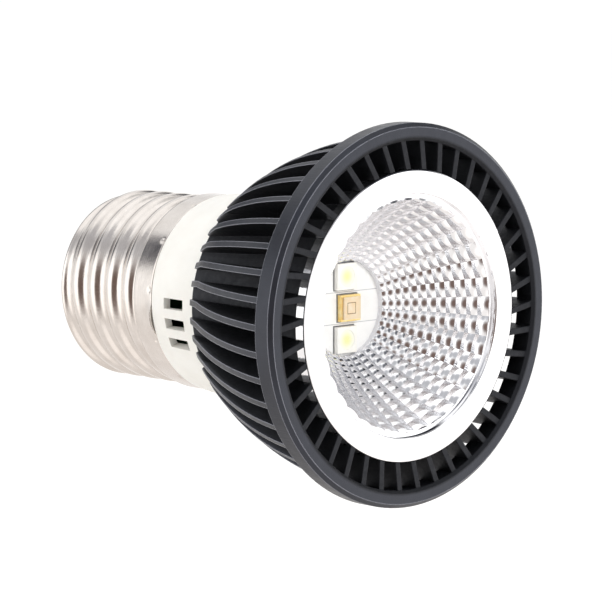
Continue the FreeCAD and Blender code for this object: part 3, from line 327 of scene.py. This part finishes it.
paint(plain_finish("green_lacquer", "#4E7F5B", "#5F9470", 1.5, 0.3, 1.5, 0.3, 0.01), "fusible_resistor")
paint(plain_finish("black_epoxy_transfer_moulded", "#17181A", "#242527", 1.0, 0.5, 1.55, 0.08, 0.006),
      "bridge_rectifier", "driver_chip", "chip_resistors")
paint(plain_finish("red_pvc_extruded", "#A51E1E", "#B92A26", 2.0, 0.35, 1.53, 0.25, 0.006),
      "live_lead", "led_positive_lead")
paint(plain_finish("black_pvc_extruded", "#141414", "#1F1F1F", 2.0, 0.35, 1.53, 0.25, 0.006),
      "led_negative_lead")

# Tinned copper wire, drawn and dipped: soft silver with slow lumps of solder.
tinned, tree, place = new_material("tinned_copper_wire")
surface(
    tree,
    Base_Color=clouded(tree, place, 1.0, "#B9B7B2", "#D2D0CB"),
    Metallic=1.0,
    Roughness=mottled(tree, place, 0.5, 0.2, 0.35),
    Normal=grained(tree, place, 0.5, 0.02),
)
paint(tinned, "neutral_lead")

# Heat sink: one aluminium casting with a hub, forty-two leaning fins and a front ring, turned on its face,
# blasted and black anodised. The housing is screwed into its back and the light board on its floor.

# The fins' outline in mm: the radii and places of its ends, and its bulge between them
TIP_REAR, TIP_FRONT = 16.3, 23.6
TIP_REAR_PLACE, TIP_FRONT_PLACE = 36.1, 58.3
TIP_BELLY = 1.45

# Black anodised aluminium: the turned tips and faces are satin with fine lines, the cast gaps between the
# fins are dull, and painted darker there as painted shade between the fins. Along the edges the film is
# painted lighter grey, as worn thin film and as a painted edge highlight. Lines and pits are about 0.05 mm
# on the real sink and drawn at 0.2 mm so that they show.
sink_black, tree, place = new_material("black_anodised_aluminium")
# Along an edge the rounded normal turns away from the true one
rounded = add(tree, "Bevel", {"Radius": 0.00018}, samples=6).outputs[0]
true_normal = add(tree, "NewGeometry").outputs["Normal"]
turned_by = add(tree, "VectorMath", {0: rounded, 1: true_normal}, operation="DOT_PRODUCT").outputs["Value"]
# Along the edges the film is painted lighter grey: worn thin film, and a painted edge highlight
worn_and_highlit_edge = add(tree, "MapRange", {0: turned_by, 1: 0.995, 2: 0.93, 3: 0.0, 4: 1.0}).outputs[0]
# Depth of the place inside that outline
parts = add(tree, "SeparateXYZ", {0: place})
across = add(tree, "CombineXYZ", {1: parts.outputs["Y"], 2: parts.outputs["Z"]}).outputs[0]
radius = add(tree, "VectorMath", {0: across}, operation="LENGTH").outputs["Value"]
length = {0: parts.outputs["X"], 1: TIP_REAR_PLACE, 2: TIP_FRONT_PLACE, 3: 0.0, 4: 1.0}
along = add(tree, "MapRange", length).outputs[0]
widening = {0: along, 1: TIP_FRONT - TIP_REAR, 2: TIP_REAR}
straight = add(tree, "Math", widening, operation="MULTIPLY_ADD").outputs[0]
belly = add(tree, "Math", {0: along, 1: 1.0}, operation="SUBTRACT").outputs[0]
belly = add(tree, "Math", {0: belly, 1: along}, operation="MULTIPLY").outputs[0]
tip = add(tree, "Math", {0: belly, 1: -4 * TIP_BELLY, 2: straight}, operation="MULTIPLY_ADD").outputs[0]
depth = add(tree, "Math", {0: tip, 1: radius}, operation="SUBTRACT").outputs[0]
# Deeper than 0.2 mm inside the outline the finish turns dull and darker: rough cast film, with painted shade
# between the fins
turned_and_unshaded_share = add(tree, "MapRange", {0: depth, 1: 0.5, 2: 0.2, 3: 0.0, 4: 1.0}).outputs[0]
film = clouded(tree, place, 4.0, "#0C0D11", "#14161C")
lines = mottled(tree, place, 0.2, 0.0, 1.0, stretch=(0.06, 1, 1))
relief = {"Height": lines, "Strength": 1.0, "Distance": 0.00001, "Normal": rounded}
pits = add(tree, "Bump", relief).outputs[0]
satin = add(
    tree,
    "BsdfPrincipled",
    {
        "Base Color": add(tree, "Mix", {0: worn_and_highlit_edge, 6: film, 7: "#9A9CA6"}, data_type="RGBA").outputs[2],
        "Roughness": mottled(tree, place, 1.2, 0.32, 0.42),
        "IOR": 1.65,
        "Specular Tint": "#DDE2F4",
        "Normal": pits,
    },
)
# The rough cast film deep between the fins, its colour painted darker as painted shade
dull_with_painted_shade = add(
    tree,
    "BsdfPrincipled",
    {
        "Base Color": clouded(tree, place, 1.6, "#050607", "#0B0C0F"),
        "Roughness": mottled(tree, place, 0.8, 0.5, 0.65),
        "IOR": 1.5,
        "Specular Tint": "#E4E8F6",
        "Normal": pits,
    },
)
finish = add(tree, "MixShader", {0: turned_and_unshaded_share, 1: dull_with_painted_shade.outputs[0], 2: satin.outputs[0]})
add(tree, "OutputMaterial", {"Surface": finish.outputs[0]})
paint(sink_black, "heat_sink")

# Thermal pad: soft silicone filled with ceramic powder, cut round like the light board. The board's two
# screws press it on the sink's floor, where it fills the gaps and carries the heat away.
paint(plain_finish("grey_filled_silicone", "#8E9296", "#A0A4A8", 2.0, 0.7, 1.43, 0.3, 0.02), "thermal_pad")

# Light board: a round aluminium plate with etched copper tracks under white solder mask, screwed to the
# sink's floor. The tracks raise the mask by a hair, and the groove where two of them part is painted as a
# thin grey line of painted shade.

# White solder mask over etched copper: silky white, with a thin grey line of painted shade between the
# packages.
TRACK_GAP, TRACK_GAP_PLACE = 0.1, 2.1

board_mask, tree, place = new_material("white_solder_mask")
up = add(tree, "SeparateXYZ", {0: place}).outputs["Z"]
up = add(tree, "Math", {0: up}, operation="ABSOLUTE").outputs[0]
# The grey line is painted shade in the groove where two tracks part
painted_groove_shade = add(tree, "Math", {0: up, 1: TRACK_GAP_PLACE, 2: TRACK_GAP / 2}, operation="COMPARE").outputs[0]
mask = clouded(tree, place, 3.0, "#F2F2F1", "#F9F9F8")
surface(
    tree,
    Base_Color=add(tree, "Mix", {0: painted_groove_shade, 6: mask, 7: "#BDBEC2"}, data_type="RGBA").outputs[2],
    Roughness=mottled(tree, place, 0.8, 0.28, 0.4),
    IOR=1.53,
    Normal=grained(tree, place, 0.5, 0.008),
)
paint(board_mask, "led_board")

# White-light packages: polyamide cups, moulded round their metal leads and soldered to the board above and
# below the middle package. Each cup holds a chip under silicone that carries yellow phosphor.

# Polyamide, moulded with a white filler: dense warm white, satin.
paint(plain_finish("white_polyamide_moulded", "#F5F3EC", "#FAF9F4", 1.2, 0.35, 1.53, 0.1, 0.004),
      "white_led_upper", "white_led_lower")

# Phosphor in silicone: it lies thickest over the chip, so the yellow fades towards the rim of the cup. Its
# grains of 0.015 mm are drawn at 0.08 mm.
FILL_PLACE, FILL_RADIUS = 4.2, 1.35

phosphor, tree, place = new_material("yellow_phosphor_silicone")
parts = add(tree, "SeparateXYZ", {0: place})
up = add(tree, "Math", {0: parts.outputs["Z"]}, operation="ABSOLUTE").outputs[0]
up = add(tree, "Math", {0: up, 1: FILL_PLACE}, operation="SUBTRACT").outputs[0]
across = add(tree, "CombineXYZ", {1: parts.outputs["Y"], 2: up}).outputs[0]
away = add(tree, "VectorMath", {0: across}, operation="LENGTH").outputs["Value"]
reach = {0: away, 1: 0.1, 2: FILL_RADIUS, 3: 0.0, 4: 1.0}
faded = add(tree, "MapRange", reach, interpolation_type="SMOOTHSTEP").outputs[0]
yellow = clouded(tree, place, 0.08, "#EFF0A4", "#F6F6B8")
surface(
    tree,
    Base_Color=add(tree, "Mix", {0: faded, 6: yellow, 7: "#FBFBEC"}, data_type="RGBA").outputs[2],
    Roughness=mottled(tree, place, 0.5, 0.15, 0.3),
    IOR=1.41,
    Subsurface_Weight=0.2,
    Subsurface_Radius=(1.0, 0.9, 0.6),
    Subsurface_Scale=0.0004,
    Normal=grained(tree, place, 0.3, 0.01),
)
paint(phosphor, "white_led_upper_phosphor", "white_led_lower_phosphor")

# UVB package: a ceramic cup plated with gold inside and out, soldered near the middle of the board, a
# little to one side. Its chip lies on its floor under a quartz window.

# Gold plate on alumina: bright yellow metal, satin from the fired ceramic's 0.05 mm grain.
gold, tree, place = new_material("gold_plated_ceramic")
surface(
    tree,
    Base_Color=clouded(tree, place, 0.9, "#F6D27C", "#FCE6AE"),
    Metallic=0.7,
    Roughness=mottled(tree, place, 0.3, 0.3, 0.45),
    Normal=grained(tree, place, 0.05, 0.004),
)
paint(gold, "uvb_led_base")

# Polished semiconductor chip: smooth and half bright, its colour painted warm as a painted reflection of the
# gold round it.
chip, tree, place = new_material("polished_nitride_chip")
surface(
    tree,
    Base_Color=clouded(tree, place, 0.3, "#DFC6A6", "#EFD9BC"),
    Metallic=0.2,
    Roughness=mottled(tree, place, 0.2, 0.1, 0.2),
)
paint(chip, "uvb_led_chip")

# Quartz window, its inner side frosted: milky, and painted warm as painted light of the gold below it. The
# chip's outline is painted on it as a thin brown square, a painted view of the chip through the window.
CHIP_MIDDLE, CHIP_HALF, CHIP_LINE = 0.45, 0.72, 0.09

quartz, tree, place = new_material("frosted_quartz")
parts = add(tree, "SeparateXYZ", {0: place})
aside = add(tree, "Math", {0: parts.outputs["Y"], 1: CHIP_MIDDLE}, operation="SUBTRACT").outputs[0]
aside = add(tree, "Math", {0: aside}, operation="ABSOLUTE").outputs[0]
up = add(tree, "Math", {0: parts.outputs["Z"]}, operation="ABSOLUTE").outputs[0]
out = add(tree, "Math", {0: aside, 1: up}, operation="MAXIMUM").outputs[0]
painted_chip_outline = add(tree, "Math", {0: out, 1: CHIP_HALF, 2: CHIP_LINE / 2}, operation="COMPARE").outputs[0]
milk_and_painted_gold_light = clouded(tree, place, 0.8, "#FFE2B4", "#FFEFD6")
surface(
    tree,
    Base_Color=add(tree, "Mix", {0: painted_chip_outline, 6: milk_and_painted_gold_light, 7: "#8A6A44"}, data_type="RGBA").outputs[2],
    Roughness=mottled(tree, place, 0.5, 0.05, 0.15),
    IOR=1.46,
    Transmission_Weight=0.2,
)
paint(quartz, "uvb_led_window")

# Solder: a thin line round the foot of each package. Paste printed on the board melts in the oven, creeps
# out from under the package and a little up its sides, and sets.
SOLDER_REACH, SOLDER_RISE = 0.16, 0.1
SOLDER_START, SOLDER_EDGE = 0.01, 0.012
SOLDER_FOOT = 0.001


def solder_line(name, node):
    """A narrow fillet round one package, from its sides down to the board."""
    low, high = (corner * 1000 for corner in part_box(node))
    hollow = (0.25 * SOLDER_REACH, 0.4 * SOLDER_RISE)
    inner = [(SOLDER_START, SOLDER_FOOT), (SOLDER_START, SOLDER_RISE)]
    profile = inner + [hollow, (SOLDER_REACH, SOLDER_EDGE), (SOLDER_REACH, SOLDER_FOOT)]
    points = []
    for out, rise in profile:
        x = (low.x + rise) / 1000
        corners = (
            (low.y - out, low.z - out), (high.y + out, low.z - out),
            (high.y + out, high.z + out), (low.y - out, high.z + out),
        )
        points += [(x, y / 1000, z / 1000) for y, z in corners]
    faces = []
    for ring in range(len(profile)):
        after = (ring + 1) % len(profile)
        for corner in range(4):
            beside = (corner + 1) % 4
            faces.append((4 * ring + corner, 4 * ring + beside, 4 * after + beside, 4 * after + corner))
    mesh = bpy.data.meshes.new(name)
    mesh.from_pydata(points, [], faces)
    piece = bpy.data.objects.new(name, mesh)
    bpy.context.scene.collection.objects.link(piece)
    mesh.materials.append(solder)
    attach(piece, "root")


# Solder, melted and left to set: dull grey metal with small waves.
solder, tree, place = new_material("reflowed_solder")
surface(
    tree,
    Base_Color=clouded(tree, place, 0.6, "#7D7E80", "#96979A"),
    Metallic=1.0,
    Roughness=mottled(tree, place, 0.3, 0.3, 0.45),
    Normal=grained(tree, place, 0.25, 0.01),
)
for package in ("white_led_upper", "uvb_led_base", "white_led_lower"):
    solder_line(f"solder_{package}", package)

# Reflector: a moulded polycarbonate bowl with a flat flange, coated with aluminium in a vacuum. Its 12
# rings of 36 facets are pillowed, so that each one spreads its own small image of the light.
FACET_COLUMNS, FACET_ROWS = 36, 12
PILLOW_STEPS, BACK_STEPS = 6, 12
PILLOW_AROUND, PILLOW_ALONG = 0.09, 0.072
RING_GROWTH = 1.06
HOLE, HOLE_PLACE = 6.4, 49.05
BOWL_TOP, BOWL_TOP_PLACE = 15.25, 60.3
MOUTH, FLANGE_FACE = 15.9, 61.0
FLANGE, FLANGE_SEAT = 19.0, 59.5
WALL = 1.0
FOOT_PLACE = 48.3


def bowl_place(radius):
    """Where on the axis the paraboloid has this radius."""
    return HOLE_PLACE + (BOWL_TOP_PLACE - HOLE_PLACE) * (radius**2 - HOLE**2) / (BOWL_TOP**2 - HOLE**2)


def bowl_slope(radius):
    """How fast the paraboloid runs along the axis as its radius grows."""
    return 2 * radius * (BOWL_TOP_PLACE - HOLE_PLACE) / (BOWL_TOP**2 - HOLE**2)


def bowl_outside(radius):
    """A point (place, radius) of the bowl's back, a wall's thickness behind its inside."""
    slope = bowl_slope(radius)
    length = math.hypot(slope, 1)
    return bowl_place(radius) - WALL / length, radius + WALL * slope / length


def facet_corner(row, column):
    """A corner of the facets, in millimetres."""
    radius = HOLE + (BOWL_TOP - HOLE) * (row / FACET_ROWS) ** RING_GROWTH
    return Vector(around(radius, 360 * (column + 0.5) / FACET_COLUMNS, bowl_place(radius))) * 1000


def facet_point(row, across_row, column, across_column):
    """A point of one pillowed facet: between its corners, raised towards the light in both directions."""
    corners = [facet_corner(row + i, column + j) for i, j in ((0, 0), (0, 1), (1, 0), (1, 1))]
    near = corners[0].lerp(corners[1], across_column)
    far = corners[2].lerp(corners[3], across_column)
    point = near.lerp(far, across_row)
    radius = math.hypot(point.y, point.z)
    slope = bowl_slope(radius)
    out = Vector((1, -slope * point.y / radius, -slope * point.z / radius)).normalized()
    near_width, far_width = (corners[1] - corners[0]).length, (corners[3] - corners[2]).length
    width = near_width * (1 - across_row) + far_width * across_row
    rise = PILLOW_AROUND * width * (1 - (2 * across_column - 1) ** 2)
    rise += PILLOW_ALONG * (corners[2] - corners[0]).length * (1 - (2 * across_row - 1) ** 2)
    return tuple((point + out * rise) / 1000)


def reflector():
    """Rings from the bowl's open bottom over facets, edge band and flange, and back behind the bowl."""
    columns = FACET_COLUMNS * PILLOW_STEPS
    rings = []
    for step in range(FACET_ROWS * PILLOW_STEPS + 1):
        row = min(step // PILLOW_STEPS, FACET_ROWS - 1)
        share = step / PILLOW_STEPS - row
        rings.append([
            facet_point(row, share, column // PILLOW_STEPS, column % PILLOW_STEPS / PILLOW_STEPS)
            for column in range(columns)
        ])
    angles = [360 * (0.5 + column / PILLOW_STEPS) / FACET_COLUMNS for column in range(columns)]
    front = [
        (BOWL_TOP_PLACE + 0.02, BOWL_TOP + 0.03),
        (BOWL_TOP_PLACE + 0.06, MOUTH - 0.12),
        (FLANGE_FACE - 0.12, MOUTH - 0.06),
        (FLANGE_FACE, MOUTH + 0.06),
        (FLANGE_FACE, FLANGE - 0.2),
        (FLANGE_FACE - 0.06, FLANGE - 0.06),
        (FLANGE_FACE - 0.2, FLANGE),
        (FLANGE_SEAT, FLANGE),
    ]
    start, end = HOLE + 0.35, BOWL_TOP - 0.55
    behind = [bowl_outside(start + (end - start) * step / BACK_STEPS) for step in range(BACK_STEPS + 1)]
    back = [(FLANGE_SEAT, behind[-1][1])] + behind[::-1] + [(FOOT_PLACE, behind[0][1]), (FOOT_PLACE, HOLE)]
    back_starts = (len(rings) + len(front)) * columns
    rings += [[around(radius, angle, x) for angle in angles] for x, radius in front + back]
    piece = mesh_of_rings("reflector_bowl", rings, crease=11)
    for face in piece.data.polygons[back_starts:]:
        face.material_index = 1
    return piece


# Vacuum-coated aluminium under clear lacquer: a near mirror, very slightly hazed, with dust-sized pits.
mirror, tree, place = new_material("vacuum_aluminised_polycarbonate")
surface(
    tree,
    Base_Color=clouded(tree, place, 4.0, "#F0F0F2", "#F8F8FA"),
    Metallic=1.0,
    Roughness=mottled(tree, place, 2.0, 0.04, 0.09),
    Normal=grained(tree, place, 1.0, 0.004),
)

# Uncoated polycarbonate on the bowl's back: a haze of the vapour has settled on it, milky silver-white.
hazed_back, tree, place = new_material("hazed_polycarbonate_back")
surface(
    tree,
    Base_Color=clouded(tree, place, 3.0, "#E2E2E8", "#EEEEF2"),
    Metallic=0.25,
    Roughness=mottled(tree, place, 1.5, 0.35, 0.5),
    IOR=1.58,
    Normal=grained(tree, place, 0.4, 0.006),
)
bowl = reflector()
bowl.data.materials.append(mirror)
bowl.data.materials.append(hazed_back)
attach(bowl, "root")
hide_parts("reflector")

# Screws: four steel screws with raised heads, rolled and zinc plated. Two short ones hold the light board
# and its pad, and two long ones go through the sink's floor into the housing's bosses.

# Zinc-plated steel: blue-white metal with a slightly frosted plate.
zinc, tree, place = new_material("zinc_plated_steel")
surface(
    tree,
    Base_Color=clouded(tree, place, 0.8, "#B4B9C0", "#CBD0D6"),
    Metallic=1.0,
    Roughness=mottled(tree, place, 0.4, 0.24, 0.38),
    Normal=grained(tree, place, 0.2, 0.004),
)
paint(zinc, "board_screws", "housing_screws")

# Studio: a plain white table below the lamp and a white room round it. The light comes from three wide soft
# lamps and from the room itself.
FLOOR_HALF, FLOOR_PLACE = 4, -0.058

floor_mesh = bpy.data.meshes.new("studio_table")
corners = [(x * FLOOR_HALF, y * FLOOR_HALF, FLOOR_PLACE) for x, y in ((-1, -1), (1, -1), (1, 1), (-1, 1))]
floor_mesh.from_pydata(corners, [], [(0, 1, 2, 3)])
floor = bpy.data.objects.new("studio_table", floor_mesh)
bpy.context.scene.collection.objects.link(floor)

# Matt white table: half lit by itself towards the camera, so that it is white and keeps a soft shadow.
# Metal and glass see the white room through it.
table_white, tree, place = new_material("matt_white_laminate")
sees = add(tree, "LightPath")
lit = add(tree, "BsdfDiffuse", {"Color": "#F4F2EF"})
glow = add(tree, "Emission", {"Color": "#FFFFFF", "Strength": 1.4})
clear = add(tree, "BsdfTransparent")
half = add(tree, "MixShader", {0: 0.55, 1: lit.outputs[0], 2: glow.outputs[0]})
chosen = add(tree, "MixShader", {0: sees.outputs["Is Camera Ray"], 1: lit.outputs[0], 2: half.outputs[0]})
mirrored = {0: sees.outputs["Is Glossy Ray"], 1: sees.outputs["Is Transmission Ray"]}
through = add(tree, "Math", mirrored, operation="MAXIMUM").outputs[0]
chosen = add(tree, "MixShader", {0: through, 1: chosen.outputs[0], 2: clear.outputs[0]})
add(tree, "OutputMaterial", {"Surface": chosen.outputs[0]})
floor_mesh.materials.append(table_white)

world = bpy.data.worlds.new("studio_room")
bpy.context.scene.world = world
world.use_nodes = True
tree = world.node_tree
tree.nodes.clear()
direction = add(tree, "TexCoord").outputs["Generated"]


def towards(azimuth, elevation, inner, outer):
    """1 within the inner angle of a direction, 0 outside the outer one, in degrees. Azimuth is 0 at +X."""
    flat = math.cos(math.radians(elevation))
    way = (
        flat * math.cos(math.radians(azimuth)),
        flat * math.sin(math.radians(azimuth)),
        math.sin(math.radians(elevation)),
    )
    near = add(tree, "VectorMath", {0: direction, 1: way}, operation="DOT_PRODUCT").outputs["Value"]
    limits = {1: math.cos(math.radians(outer)), 2: math.cos(math.radians(inner)), 3: 0.0, 4: 1.0}
    return add(tree, "MapRange", {0: near, **limits}, interpolation_type="SMOOTHSTEP").outputs[0]


# The room as metal sees it: by height from a warm table to white walls, with darker patches, and with
# screens and lamps that are brighter than the walls.
height = add(tree, "SeparateXYZ", {0: direction}).outputs["Z"]
height_share = add(tree, "MapRange", {0: height, 1: -1.0, 2: 1.0, 3: 0.0, 4: 1.0}).outputs[0]
room = add(
    tree,
    "ValToRGB",
    {0: height_share},
    stops=[(0.0, "#F3EEEA"), (0.3, "#FAF6F3"), (0.42, "#FFFDFB"), (0.5, "#FFFFFF")],
).outputs[0]
for azimuth, elevation, inner, outer, colour in (
    (-115, 46, 8, 20, "#C4C5C9"),  # ceiling on the camera's side, in three pieces
    (-75, 46, 8, 20, "#BDBEC2"),
    (-38, 44, 8, 20, "#BFC0C4"),
    (-46, 3, 8, 31, "#76645D"),  # round the camera
    (-152, 29, 1, 18, "#5C5D64"),  # gap above the left screen's far edge
    (163, 9, 11, 25, "#787A82"),  # opening behind the cap
    (102, 37, 5, 19, "#4C4F57"),  # dark ceiling at the back, in three pieces
    (48, 36, 14, 27, "#303238"),
    (8, 38, 8, 22, "#6E7077"),
):
    share = towards(azimuth, elevation, inner, outer)
    room = add(tree, "Mix", {0: share, 6: room, 7: colour}, data_type="RGBA").outputs[2]
strength = 1.05
for azimuth, elevation, inner, outer, more in (
    (-103, 5, 24, 44, 0.6),  # wide screen on the left
    (48, -6, 24, 50, 0.5),  # wide screen on the right
    (0, 90, 24, 40, 0.25),  # lamp above
    (-20, -48, 12, 32, 0.35),  # lit table in front
):
    share = towards(azimuth, elevation, inner, outer)
    strength = add(tree, "Math", {0: share, 1: more, 2: strength}, operation="MULTIPLY_ADD").outputs[0]
mirrored_room = add(tree, "Background", {"Color": room, "Strength": strength})
soft_room = add(tree, "Background", {"Color": "#FDFCFA", "Strength": 0.66})
white_wall = add(tree, "Background", {"Color": "#FFFFFF", "Strength": 1.0})
sees = add(tree, "LightPath")
reflected = {0: sees.outputs["Is Glossy Ray"], 1: soft_room.outputs[0], 2: mirrored_room.outputs[0]}
seen = add(tree, "MixShader", reflected)
straight = {0: sees.outputs["Is Camera Ray"], 1: sees.outputs["Is Transmission Ray"]}
white_seen = add(tree, "Math", straight, operation="MAXIMUM").outputs[0]
seen = add(tree, "MixShader", {0: white_seen, 1: seen.outputs[0], 2: white_wall.outputs[0]})
add(tree, "OutputWorld", {"Surface": seen.outputs[0]})

LAMP_MIDDLE = Vector((0.035, 0, 0))


def softbox(name, place, size, watts):
    """A square soft lamp that faces the middle of the object."""
    light = bpy.data.lights.new(name, "AREA")
    light.shape = "SQUARE"
    light.size = size
    light.energy = watts
    lamp = bpy.data.objects.new(name, light)
    bpy.context.scene.collection.objects.link(lamp)
    lamp.location = place
    lamp.visible_glossy = False
    lamp.rotation_euler = (LAMP_MIDDLE - Vector(place)).to_track_quat("-Z", "Y").to_euler()


softbox("softbox_above", (0.05, -0.15, 0.60), 0.50, 1.2)
softbox("softbox_left", (-0.30, -0.50, 0.25), 0.35, 0.9)
softbox("softbox_front", (0.65, -0.05, 0.25), 0.35, 1.9)

# Camera: a long lens, a little above the lamp and in front of it to the left. Its place, turn and length
# were fitted to the cap, the neck and the ring in the photograph.
lens = bpy.data.cameras.new("camera")
lens.lens = 188.2
lens.sensor_width = 36
lens.clip_start = 0.01
camera = bpy.data.objects.new("camera", lens)
bpy.context.scene.collection.objects.link(camera)
camera.location = (0.35131, -0.28983, 0.05)
camera.rotation_euler = (math.radians(90 - 6.77), 0, math.radians(46.95))
bpy.context.scene.camera = camera
bpy.context.scene.view_settings.view_transform = "Standard"
